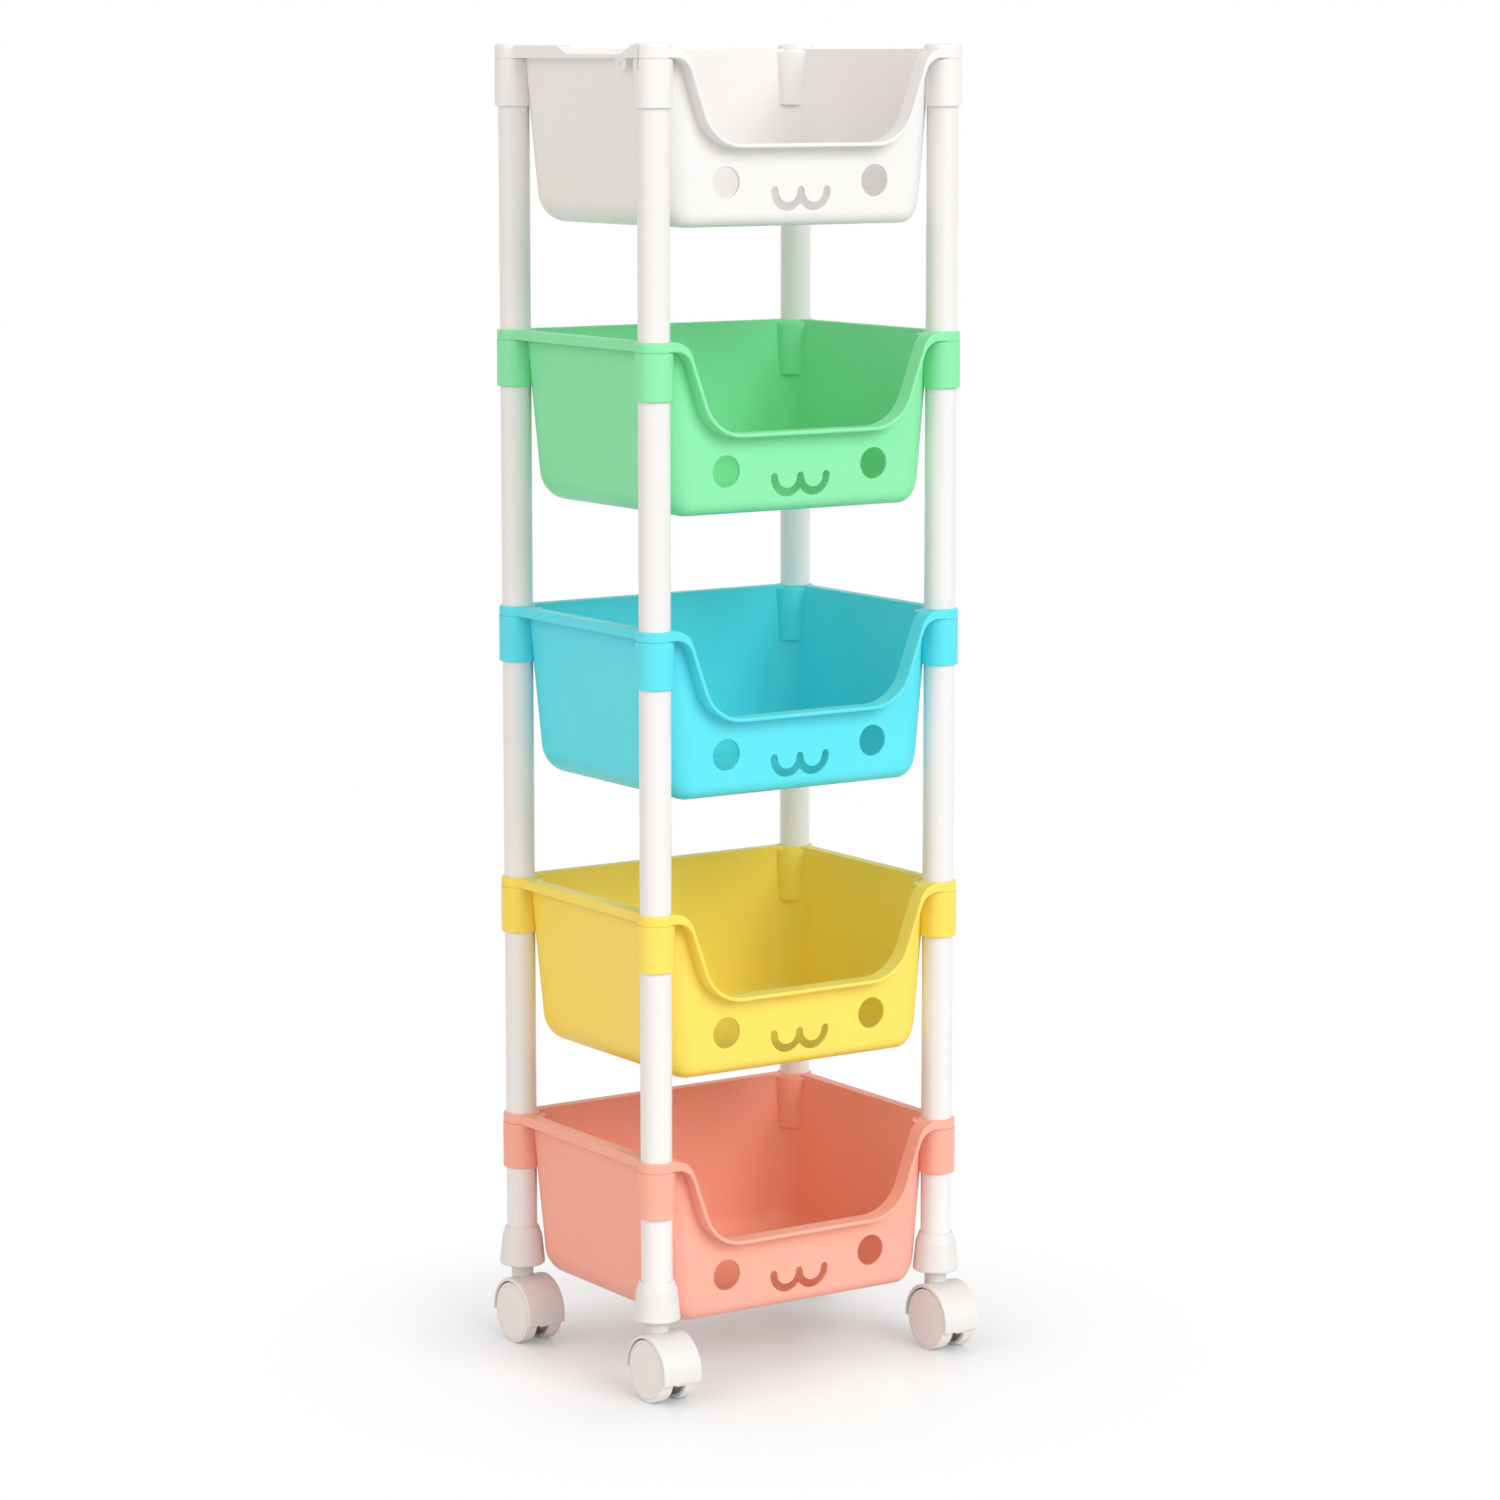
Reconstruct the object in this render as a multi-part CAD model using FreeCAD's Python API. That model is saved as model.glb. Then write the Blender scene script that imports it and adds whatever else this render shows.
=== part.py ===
import FreeCAD, Part
import math
import os

# Five-tier rolling toy rack. Millimetres, +Z up, -Y is the front.
# The origin is on the floor, in the middle of the four pairs of wheels.

# Posts
POST_SPACING_X = 272.0
POST_SPACING_Y = 206.0
TUBE_DIAMETER = 25.0
TUBE_WALL = 1.2
SOCKET_CLEARANCE = 0.1

# Tiers, lowest first
TUB_NAMES = ("pink", "yellow", "blue", "green", "white")
LOWEST_PITCH = 197.0
TIER_PITCH = 222.4

# Tub shell
TUB_DEPTH = 136.5
TUB_WALL = 2.2
SIDE_WALL_INSIDE_POST = 0.3
FRONT_WALL_BEFORE_POST = 1.6
BACK_WALL_BEHIND_POST = 0.6
SIDE_DRAFT = 5.0
FRONT_DRAFT = 0.6
BACK_DRAFT = 1.8
LOWER_CORNER_RADIUS = 25.0
FLOOR_EDGE_RADIUS = 11.0
BACK_FLOOR_RADIUS = 22.0
POST_GAP = 0.8

# Corner collars
COLLAR_WALL = 2.5
COLLAR_LENGTH = 45.3
COLLAR_EDGE_RADIUS = 1.0
STOP_DROP = 22.0
STOP_THICKNESS = 2.0
STOP_LEDGE = 2.0
COLUMN_RADIUS = 20.0
COLUMN_DROP = 2.0

# Rim
RIM_HEIGHT = 7.6
RIM_REACH = 8.2
RIM_PLATE = 2.2
RIM_SKIRT = 2.0
RIM_EDGE_RADIUS = 1.4
RIM_JOG_RADIUS = 6.0
RING_INSET = 0.2
GROOVE_HEIGHT = 0.6
GROOVE_DEPTH = 0.6

# Cut-out front with its lip
CUTOUT_DEPTH = 72.5
CUTOUT_FROM_POST = 22.7
CUTOUT_SLOPE = 70.3
CUTOUT_TOP_RADIUS = 18.0
CUTOUT_BOTTOM_RADIUS = 35.0
FRONT_LIP_THICKNESS = 3.2
FRONT_LIP_EDGE_RADIUS = 1.2
FRONT_LIP_SET_BACK = 0.4

# Two round holes and a curved slot in the front wall
ROUND_HOLE_DIAMETER = 25.0
ROUND_HOLE_SPACING = 140.0
ROUND_HOLE_BELOW_CUTOUT = 30.0
SLOT_ARC_RADIUS = 12.3
SLOT_WIDTH = 6.5
SLOT_BELOW_HOLES = 6.8
HOLE_EDGE_RADIUS = 0.6

# Corner caps of the top tub, and its left side rail with a tab and a slit
RAIL_RISE = 2.7
CAP_RISE = 3.8
CAP_EDGE_RADIUS = 2.6
CAP_ROOF = 2.4
GRIP_DEPTH = 4.6
GRIP_LENGTH = 79.0
GRIP_CENTRE_Y = -29.5
GRIP_RAMP = 14.0
GRIP_RADIUS = 14.0
TAB_LENGTH = 15.0
TAB_DROP = 8.6
TAB_SET_BACK = 0.6
TAB_FROM_POST = 35.0
TAB_RADIUS = 3.0
TAB_DIMPLE_DIAMETER = 4.0
TAB_DIMPLE_DEPTH = 1.0
SLIT_WIDTH = 1.6
SLIT_LENGTH = 20.0
SLIT_BEFORE_POST = 2.0
SLIT_FLOOR = 0.8

# Wheels
WHEEL_DIAMETER = 50.0
WHEEL_WIDTH = 11.4
WHEEL_EDGE_RADIUS = 1.6
WHEEL_RIM = 3.2
WHEEL_GROOVE = 0.7
WHEEL_HUB_WALL = 5.0
WHEEL_FACE = 3.6
AXLE_DIAMETER = 6.0
AXLE_COVER = 2.0
AXLE_END_GAP = 0.2
RUNNING_CLEARANCE = 0.05
FIT_CLEARANCE = 0.02
WHEEL_SIDE_GAP = 0.6

# Caster hood
CASTER_TRAIL = 10.0
HOOD_GAP = 1.2
HOOD_WALL = 2.8
HOOD_OVERHANG = 0.2
HOOD_EDGE_RADIUS = 1.6
HOOD_FRONT_DROP = 6.0
HOOD_BACK_DROP = 2.0
WEB_THICKNESS = 10.4
WEB_DROP = 8.0
NECK_DIAMETER = 18.0
NECK_HEIGHT = 8.0
TUB_ABOVE_HOOD = 0.5

# Caster stem and its grip ring
PIVOT_DIAMETER = 8.0
PIVOT_ABOVE_AXLE = 9.5
PIVOT_END_GAP = 0.2
FLANGE_DIAMETER = 16.0
FLANGE_THICKNESS = 0.8
FLANGE_GAP = 0.1
STEM_DIAMETER = 11.0
STEM_LENGTH = 36.0
STEM_CHAMFER = 1.5
GRIP_RING_HEIGHT = 7.0
GRIP_RING_THICKNESS = 0.9
GRIP_RING_BELOW_TOP = 5.0
GRIP_RING_OPENING = 2.5

# Foot socket
FOOT_HEIGHT = 32.0
FOOT_BOTTOM_FLARE = 6.4
FOOT_SHOULDER_FLARE = 3.9
FOOT_TOP_WALL = 1.1
FOOT_SHOULDER_DROP = 8.0
FOOT_EDGE_RADIUS = 2.0
FOOT_SEAT = 9.0
FOOT_SKIRT_WALL = 2.4
FOOT_RECESS_DEPTH = 6.0
PLUG_ROOF = 2.5
PLUG_HEADROOM = 1.0

# Extra length with which a cut runs clear of the faces that it goes through
CUT_MARGIN = 5.0
TOLERANCE = 1e-5
EDGE_SAMPLES = 5

# Sizes and heights that follow from those above
tube_radius = TUBE_DIAMETER / 2
bore_radius = tube_radius + SOCKET_CLEARANCE
collar_radius = bore_radius + COLLAR_WALL
ring_radius = collar_radius - RING_INSET
stop_underside = STOP_DROP + STOP_THICKNESS
wheel_radius = WHEEL_DIAMETER / 2
axle_radius = AXLE_DIAMETER / 2
pivot_radius = PIVOT_DIAMETER / 2
stem_radius = STEM_DIAMETER / 2
hood_inner_radius = wheel_radius + HOOD_GAP
hood_radius = hood_inner_radius + HOOD_WALL
wheel_inner_x = WEB_THICKNESS / 2 + WHEEL_SIDE_GAP
wheel_outer_x = wheel_inner_x + WHEEL_WIDTH
axle_end_x = wheel_outer_x - AXLE_COVER - AXLE_END_GAP
hood_half_width = wheel_outer_x + HOOD_OVERHANG
hood_top = wheel_radius + hood_radius
neck_top = hood_top + NECK_HEIGHT
foot_bottom = neck_top + FLANGE_GAP + FLANGE_THICKNESS
stem_top = foot_bottom + STEM_LENGTH
leg_seat = foot_bottom + FOOT_SEAT
lowest_rim = hood_top + TUB_ABOVE_HOOD + TUB_DEPTH
upper_gaps = len(TUB_NAMES) - 1
rim_heights = [lowest_rim] + [lowest_rim + LOWEST_PITCH + TIER_PITCH * i for i in range(upper_gaps)]

half_x = POST_SPACING_X / 2
half_y = POST_SPACING_Y / 2
wall_x = half_x - SIDE_WALL_INSIDE_POST
front_y = half_y + FRONT_WALL_BEFORE_POST
back_y = half_y + BACK_WALL_BEHIND_POST
rim_x = wall_x + RIM_REACH
cutout_top_x = half_x - CUTOUT_FROM_POST
round_hole_z = -CUTOUT_DEPTH - ROUND_HOLE_BELOW_CUTOUT
round_hole_x = ROUND_HOLE_SPACING / 2
slot_z = round_hole_z - SLOT_BELOW_HOLES
slot_outer_radius = SLOT_ARC_RADIUS + SLOT_WIDTH / 2

CORNERS = {
    "front_left": (-1, -1),
    "front_right": (1, -1),
    "back_left": (-1, 1),
    "back_right": (1, 1),
}


def vec(x, y, z):
    return FreeCAD.Vector(x, y, z)


def on_xz(y):
    """Place outline points (u, v) on the upright plane across the rack at this y."""
    return lambda u, v: vec(u, y, v)


def on_yz(x):
    """Place outline points (u, v) on the upright plane from front to back at this x."""
    return lambda u, v: vec(x, u, v)


def cylinder(radius, low, high, x=0.0, y=0.0):
    """Upright cylinder between two heights."""
    return Part.makeCylinder(radius, high - low, vec(x, y, low))


def cross_cylinder(radius, x0, x1, y, z):
    """Cylinder that lies along X."""
    return Part.makeCylinder(radius, x1 - x0, vec(x0, y, z), vec(1, 0, 0))


def rounded_outline(points, radii, place):
    """Closed wire through the points, with each corner rounded by its radius, or sharp at 0."""
    flat = [vec(u, v, 0) for u, v in points]
    corners = []
    for i, corner in enumerate(flat):
        if radii[i] == 0:
            corners.append((corner, None, corner))
            continue
        behind = (flat[i - 1] - corner).normalize()
        ahead = (flat[(i + 1) % len(flat)] - corner).normalize()
        half_angle = behind.getAngle(ahead) / 2
        reach = radii[i] / math.tan(half_angle)
        middle = (behind + ahead).normalize()
        arc_top = corner + middle * (radii[i] / math.sin(half_angle) - radii[i])
        corners.append((corner + behind * reach, arc_top, corner + ahead * reach))
    edges = []
    for i, (start, arc_top, end) in enumerate(corners):
        if arc_top is not None:
            edges.append(Part.Arc(*[place(p.x, p.y) for p in (start, arc_top, end)]).toShape())
        following = corners[(i + 1) % len(corners)][0]
        if end.distanceToPoint(following) > TOLERANCE:
            line = Part.LineSegment(place(end.x, end.y), place(following.x, following.y))
            edges.append(line.toShape())
    return Part.Wire(edges)


def prism(points, radii, place, direction):
    """Solid made by pushing a rounded outline along a direction."""
    return Part.Face(rounded_outline(points, radii, place)).extrude(direction)


def turned(points):
    """Solid of revolution about Z from a closed outline of (radius, height) points."""
    outline = Part.makePolygon([vec(r, 0, z) for r, z in points + points[:1]])
    return Part.Face(outline).revolve(vec(0, 0, 0), vec(0, 0, 1), 360)


def edges_where(shape, test):
    """Edges of which every sampled point passes the test."""
    return [edge for edge in shape.Edges if all(test(p) for p in edge.discretize(EDGE_SAMPLES))]


# Walls of the tub at a height below the rim, which is at 0

def side_at(z, inset):
    draft = math.radians(SIDE_DRAFT)
    return wall_x - inset / math.cos(draft) + z * math.tan(draft)


def front_at(z, inset):
    return -(front_y - inset) - z * math.tan(math.radians(FRONT_DRAFT))


def back_at(z, inset):
    return back_y - inset + z * math.tan(math.radians(BACK_DRAFT))


def corner_radius(wall_at):
    """Upright radius beside the front or back that clears the tubes below the collars and the feet."""
    obstacles = (
        (-COLLAR_LENGTH, tube_radius),
        (foot_bottom - lowest_rim, tube_radius + FOOT_BOTTOM_FLARE),
    )
    radii = []
    for z, obstacle_radius in obstacles:
        clear = obstacle_radius + POST_GAP
        out_x = half_x - side_at(z, 0)
        out_y = half_y - abs(wall_at(z, 0))
        lead = clear - out_x - out_y
        radii.append(lead + math.sqrt(lead ** 2 - out_x ** 2 - out_y ** 2 + clear ** 2))
    return max(radii)


def rounded_panels(body, inset, top, floor):
    """Round the edges of the front and back panels, widely upright and less along the floor."""
    def radius_at(vertex, wall_at):
        if abs(vertex.Point.z - floor) > TOLERANCE:
            return corner_radius(wall_at) - inset
        return (BACK_FLOOR_RADIUS if wall_at is back_at else FLOOR_EDGE_RADIUS) - inset

    def sweep(vertex):
        return math.atan2(vertex.Point.x, top - vertex.Point.z)

    def is_rounded(edge, wall_at):
        points = edge.discretize(EDGE_SAMPLES)
        on_panel = all(abs(p.y - wall_at(p.z, inset)) < TOLERANCE for p in points)
        return on_panel and not all(abs(p.z - top) < TOLERANCE for p in points)

    rounded_edges = []
    for wall_at in (front_at, back_at):
        panel = [(n, edge) for n, edge in enumerate(body.Edges, 1) if is_rounded(edge, wall_at)]
        # The radii are given along the panel's outline in the direction of its first edge
        first = panel[0][1]
        is_reversed = sweep(first.firstVertex()) > sweep(first.lastVertex())
        for number, edge in panel:
            ends = sorted((edge.firstVertex(), edge.lastVertex()), key=sweep, reverse=is_reversed)
            rounded_edges.append((number, *[radius_at(end, wall_at) for end in ends]))
    document = FreeCAD.newDocument()
    sharp = document.addObject("Part::Feature", "sharp")
    sharp.Shape = body
    rounding = document.addObject("Part::Fillet", "rounding")
    rounding.Base = sharp
    rounding.Edges = rounded_edges
    document.recompute()
    result = rounding.Shape.copy()
    FreeCAD.closeDocument(document.Name)
    return result.Solids[0]


def tub_form(inset, top):
    """Full tub form with every wall moved in by the inset, from its floor up to the top height."""
    floor = inset - TUB_DEPTH
    below = floor - CUT_MARGIN
    lower = LOWER_CORNER_RADIUS - inset
    across = [(sx * side_at(z, inset), z) for sx, z in ((-1, top), (-1, floor), (1, floor), (1, top))]
    body = prism(across, [0, lower, lower, 0], on_xz(-POST_SPACING_Y), vec(0, 2 * POST_SPACING_Y, 0))
    along = [
        (front_at(top, inset), top),
        (front_at(below, inset), below),
        (back_at(below, inset), below),
        (back_at(top, inset), top),
    ]
    panels = prism(along, [0] * 4, on_yz(-POST_SPACING_X), vec(2 * POST_SPACING_X, 0, 0))
    return rounded_panels(body.common(panels).Solids[0], inset, top, floor)


# Rim, collars and front of the tub

def rim_face(inset):
    """Plan of the rim at its underside: straight sides and back, and a round at each post."""
    back = back_y + RIM_REACH
    corners = [(-rim_x, -half_y), (rim_x, -half_y), (rim_x, back), (-rim_x, back)]
    face = Part.Face(rounded_outline(corners, [0] * 4, lambda u, v: vec(u, v, -RIM_HEIGHT)))
    for sx, sy in CORNERS.values():
        circle = Part.Circle(vec(sx * half_x, sy * half_y, -RIM_HEIGHT), vec(0, 0, 1), ring_radius)
        face = face.fuse(Part.Face(Part.Wire(circle.toShape())))
    outline = face.removeSplitter().Faces[0].OuterWire
    opened = Part.Face(outline).makeOffset2D(RIM_JOG_RADIUS)
    return Part.Face(opened.Wires[0]).makeOffset2D(-RIM_JOG_RADIUS - inset)


def rim_band():
    """Flat rim with a rounded edge and a skirt that hangs down, open below."""
    band = rim_face(0).extrude(vec(0, 0, RIM_HEIGHT)).Solids[0]
    band = band.makeFillet(RIM_EDGE_RADIUS, edges_where(band, lambda p: abs(p.z) < TOLERANCE))
    pocket = rim_face(RIM_SKIRT).extrude(vec(0, 0, RIM_HEIGHT - RIM_PLATE))
    return band.cut(pocket)


def cutout_line(drop, thickness):
    """Right half of the cut-out's edge as two corner points, moved out by a thickness."""
    slope = math.radians(CUTOUT_SLOPE)
    aside = thickness / math.sin(slope)
    low = CUTOUT_DEPTH + thickness
    return (
        (cutout_top_x - drop / math.tan(slope) + aside, -drop),
        (cutout_top_x - low / math.tan(slope) + aside, -low),
    )


def cutout_air():
    """Space that the cut-out takes away from the front wall."""
    shoulder, bottom = cutout_line(0, 0)
    points = [
        (-half_x, CUT_MARGIN),
        (-half_x, 0),
        (-shoulder[0], 0),
        (-bottom[0], bottom[1]),
        bottom,
        shoulder,
        (half_x, 0),
        (half_x, CUT_MARGIN),
    ]
    radii = [0, 0, CUTOUT_TOP_RADIUS] + [CUTOUT_BOTTOM_RADIUS] * 2 + [CUTOUT_TOP_RADIUS, 0, 0]
    start = -half_y - collar_radius - CUT_MARGIN
    length = front_at(-CUTOUT_DEPTH, TUB_WALL) + CUT_MARGIN - start
    return prism(points, radii, on_xz(start), vec(0, length, 0))


def front_lip():
    """Lip that follows the cut-out, from the ring at one front post to the other."""
    shoulder, bottom = cutout_line(0, 0)
    under_shoulder, under_bottom = cutout_line(RIM_HEIGHT, FRONT_LIP_THICKNESS)
    upper = [(half_x, 0), shoulder, bottom]
    lower = [(half_x, -RIM_HEIGHT), under_shoulder, under_bottom]
    under_radii = [0, CUTOUT_TOP_RADIUS - FRONT_LIP_THICKNESS, CUTOUT_BOTTOM_RADIUS + FRONT_LIP_THICKNESS]
    upper_radii = [0, CUTOUT_TOP_RADIUS, CUTOUT_BOTTOM_RADIUS]
    points = upper + [(-x, z) for x, z in reversed(upper)] + [(-x, z) for x, z in lower] + lower[::-1]
    radii = upper_radii + upper_radii[::-1] + under_radii + under_radii[::-1]
    front = -half_y - ring_radius + FRONT_LIP_SET_BACK
    reach = -front_y + TUB_WALL / 2 - front
    lip = prism(points, radii, on_xz(front), vec(0, reach, 0))

    def at_front_edge(p):
        return abs(p.y - front) < TOLERANCE

    long_edges = [e for e in edges_where(lip, at_front_edge) if e.Length > RIM_HEIGHT + TOLERANCE]
    return lip.makeFillet(FRONT_LIP_EDGE_RADIUS, long_edges)


def rim_ring(x, y, rise, edge_radius):
    """Solid ring of the rim at a post, rounded on top, which rises this far above the rim."""
    ring = cylinder(ring_radius, -RIM_HEIGHT, rise, x, y)
    return ring.makeFillet(edge_radius, edges_where(ring, lambda p: p.z > rise - TOLERANCE))


def collar(x, y):
    """Solid collar below the rim ring, with a fine groove between the two."""
    top = -RIM_HEIGHT - GROOVE_HEIGHT
    sleeve = cylinder(collar_radius, -COLLAR_LENGTH, top, x, y)
    sleeve = sleeve.makeFillet(COLLAR_EDGE_RADIUS, edges_where(sleeve, lambda p: p.z < top - TOLERANCE))
    core = cylinder(ring_radius - GROOVE_DEPTH, top - GROOVE_HEIGHT, -RIM_HEIGHT / 2, x, y)
    return sleeve.fuse(core)


def collar_stop(x, y):
    """Ledge inside the collar that the tubes meet from above and below."""
    ring = cylinder(bore_radius + COLLAR_WALL / 2, -stop_underside, -STOP_DROP, x, y)
    return ring.cut(cylinder(bore_radius - STOP_LEDGE, -stop_underside, -STOP_DROP, x, y))


def corner_column(x, y, mid_wall):
    """Column inside a corner of the tub, round the collar, cut off in the middle of the walls."""
    top = -COLUMN_DROP
    column = cylinder(COLUMN_RADIUS, -COLLAR_LENGTH, top, x, y)
    column = column.makeFillet(COLLAR_EDGE_RADIUS, edges_where(column, lambda p: p.z > top - TOLERANCE))
    return column.common(mid_wall)


def front_holes():
    """Two round holes and a slot of two joined half circles, as bodies to cut away."""
    start = -front_y - CUT_MARGIN
    reach = vec(0, TUB_WALL + 2 * CUT_MARGIN + FLOOR_EDGE_RADIUS, 0)

    def rod(radius, x, z):
        return Part.makeCylinder(radius, reach.Length, vec(x, start, z), reach)

    holes = [rod(ROUND_HOLE_DIAMETER / 2, sx * round_hole_x, round_hole_z) for sx in (-1, 1)]
    slot = rod(SLOT_WIDTH / 2, 0, slot_z)
    for sx in (-1, 1):
        ring = rod(slot_outer_radius, sx * SLOT_ARC_RADIUS, slot_z)
        ring = ring.cut(rod(slot_outer_radius - SLOT_WIDTH, sx * SLOT_ARC_RADIUS, slot_z))
        upper_half = Part.makeBox(2 * slot_outer_radius, reach.Length, slot_outer_radius)
        upper_half.translate(vec(sx * SLOT_ARC_RADIUS - slot_outer_radius, start, slot_z))
        slot = slot.fuse(ring.cut(upper_half)).fuse(rod(SLOT_WIDTH / 2, 2 * sx * SLOT_ARC_RADIUS, slot_z))
    return holes + [slot]


def rounded_holes(tub):
    """Round the outer edges of the holes in the front wall."""
    def at_hole(p):
        on_front = abs(p.y - front_at(p.z, 0)) < TOLERANCE
        from_round = math.hypot(abs(p.x) - round_hole_x, p.z - round_hole_z) - ROUND_HOLE_DIAMETER / 2
        beside_slot = abs(p.x) - SLOT_ARC_RADIUS - slot_outer_radius
        above_slot = abs(p.z - slot_z) - slot_outer_radius
        return on_front and min(from_round, max(beside_slot, above_slot)) < TOLERANCE

    return tub.makeFillet(HOLE_EDGE_RADIUS, edges_where(tub, at_hole))


# Side rail, tab and slit, which only the top tub has, drawn on the right

def grip_points(rise):
    """Corner points (y, z) of the dip for a hand in the side rail, front to back."""
    front = GRIP_CENTRE_Y - GRIP_LENGTH / 2
    back = GRIP_CENTRE_Y + GRIP_LENGTH / 2
    return [
        (front - GRIP_RAMP, rise),
        (front, -GRIP_DEPTH),
        (back, -GRIP_DEPTH),
        (back + GRIP_RAMP, rise),
    ]


def grip_air():
    """Space that the dip for a hand takes away from the side wall."""
    points = grip_points(RAIL_RISE)
    points += [(points[3][0], RAIL_RISE + CUT_MARGIN), (points[0][0], RAIL_RISE + CUT_MARGIN)]
    radii = [0, GRIP_RADIUS, GRIP_RADIUS, 0, 0, 0]
    start = wall_x - TUB_WALL - CUT_MARGIN
    return prism(points, radii, on_yz(start), vec(rim_x + CUT_MARGIN - start, 0, 0))


def side_rail():
    """Raised rail with its dip for a hand."""
    ends = [(half_y, RAIL_RISE), (half_y, -RIM_HEIGHT), (-half_y, -RIM_HEIGHT), (-half_y, RAIL_RISE)]
    radii = [GRIP_RADIUS] * 4 + [0] * 4
    start = side_at(0, TUB_WALL)
    rail = prism(grip_points(RAIL_RISE) + ends, radii, on_yz(start), vec(rim_x - start, 0, 0))
    outer = edges_where(rail, lambda p: abs(p.x - rim_x) < TOLERANCE and p.z > TOLERANCE - RIM_HEIGHT)
    top_edges = [e for e in outer if abs(e.CenterOfMass.y) < half_y - TOLERANCE]
    return rail.makeFillet(RIM_EDGE_RADIUS, top_edges)


def side_tab():
    """Small tab with a dimple that hangs below the rail near the front post."""
    centre = -half_y + TAB_FROM_POST
    low = -RIM_HEIGHT - TAB_DROP
    high = -RIM_HEIGHT + RIM_PLATE
    ys = (centre - TAB_LENGTH / 2, centre + TAB_LENGTH / 2)
    points = [(ys[0], high), (ys[0], low), (ys[1], low), (ys[1], high)]
    start = side_at(low, TUB_WALL / 2)
    outer = rim_x - TAB_SET_BACK
    tab = prism(points, [0, TAB_RADIUS, TAB_RADIUS, 0], on_yz(start), vec(outer - start, 0, 0))
    middle = -RIM_HEIGHT - TAB_DROP / 2
    dimple_start = outer - TAB_DIMPLE_DEPTH
    dimple_end = outer + CUT_MARGIN
    return tab.cut(cross_cylinder(TAB_DIMPLE_DIAMETER / 2, dimple_start, dimple_end, centre, middle))


def rail_slit():
    """Narrow upright slit in the side of the front corner, where the rail meets it."""
    centre = -half_y - SLIT_BEFORE_POST
    start = half_x + bore_radius + SLIT_FLOOR
    slit = Part.makeBox(COLLAR_WALL + CUT_MARGIN, SLIT_WIDTH, SLIT_LENGTH + CAP_RISE)
    slit.translate(vec(start, centre - SLIT_WIDTH / 2, CAP_RISE - SLIT_LENGTH))
    return slit


def on_left(shape):
    """Mirror image of a shape that is drawn on the right."""
    return shape.mirror(vec(0, 0, 0), vec(1, 0, 0))


def make_tub(is_top):
    """Tub with its rim at height 0 and its posts centred on the origin."""
    posts = [(sx * half_x, sy * half_y) for sx, sy in CORNERS.values()]
    outer = tub_form(0, 0).fuse([rim_band()] + [collar(x, y) for x, y in posts])
    tub = outer.cut(tub_form(TUB_WALL, CUT_MARGIN)).cut(cutout_air())
    mid_wall = tub_form(TUB_WALL / 2, 0)
    additions = [front_lip()] + [corner_column(x, y, mid_wall) for x, y in posts]
    if is_top:
        tub = tub.cut(on_left(grip_air()))
        additions += [on_left(side_rail()), on_left(side_tab())]
        additions += [rim_ring(x, y, CAP_RISE, CAP_EDGE_RADIUS) for x, y in posts]
        bore_top = CAP_RISE - CAP_ROOF
    else:
        additions += [rim_ring(x, y, 0, RIM_EDGE_RADIUS) for x, y in posts]
        bore_top = CUT_MARGIN
    tub = tub.fuse(additions)
    tub = tub.cut([cylinder(bore_radius, -COLLAR_LENGTH - CUT_MARGIN, bore_top, x, y) for x, y in posts])
    tub = tub.fuse([collar_stop(x, y) for x, y in posts])
    if is_top:
        tub = tub.cut(on_left(rail_slit()))
    return rounded_holes(tub.cut(front_holes()).removeSplitter()).Solids[0]


# Tubes and feet, each on an axis at the origin

def make_tube(low, high):
    return cylinder(tube_radius, low, high).cut(cylinder(tube_radius - TUBE_WALL, low, high))


def make_foot_socket():
    """Bell-shaped foot: a seat and plug for the leg tube above, a bore for the stem below."""
    top = foot_bottom + FOOT_HEIGHT
    shoulder = top - FOOT_SHOULDER_DROP
    plug_top = stem_top + PLUG_HEADROOM + PLUG_ROOF
    plug_radius = tube_radius - TUBE_WALL - SOCKET_CLEARANCE
    bore = stem_radius + SOCKET_CLEARANCE
    bottom_radius = tube_radius + FOOT_BOTTOM_FLARE
    bell = turned([
        (0, foot_bottom),
        (bottom_radius, foot_bottom),
        (tube_radius + FOOT_SHOULDER_FLARE, shoulder),
        (bore_radius + FOOT_TOP_WALL, top),
        (0, top),
    ])
    bell = bell.makeFillet(FOOT_EDGE_RADIUS, edges_where(bell, lambda p: p.z < shoulder - TOLERANCE))
    round_edges = edges_where(bell, lambda p: abs(p.z - shoulder) < TOLERANCE)
    bell = bell.makeFillet(FOOT_SHOULDER_DROP / 2, round_edges)
    slot = cylinder(bore_radius, leg_seat, top + CUT_MARGIN)
    bell = bell.cut(slot).fuse(cylinder(plug_radius, foot_bottom, plug_top))
    recess = cylinder(bottom_radius - FOOT_SKIRT_WALL, foot_bottom, foot_bottom + FOOT_RECESS_DEPTH)
    recess = recess.cut(cylinder(FLANGE_DIAMETER / 2, foot_bottom, foot_bottom + FOOT_RECESS_DEPTH))
    stem_bore = cylinder(bore, foot_bottom - CUT_MARGIN, plug_top - PLUG_ROOF)
    return bell.cut(recess).cut(stem_bore).removeSplitter().Solids[0]


# Casters, with the swivel axis at the origin and the wheel axle in front of it

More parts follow.
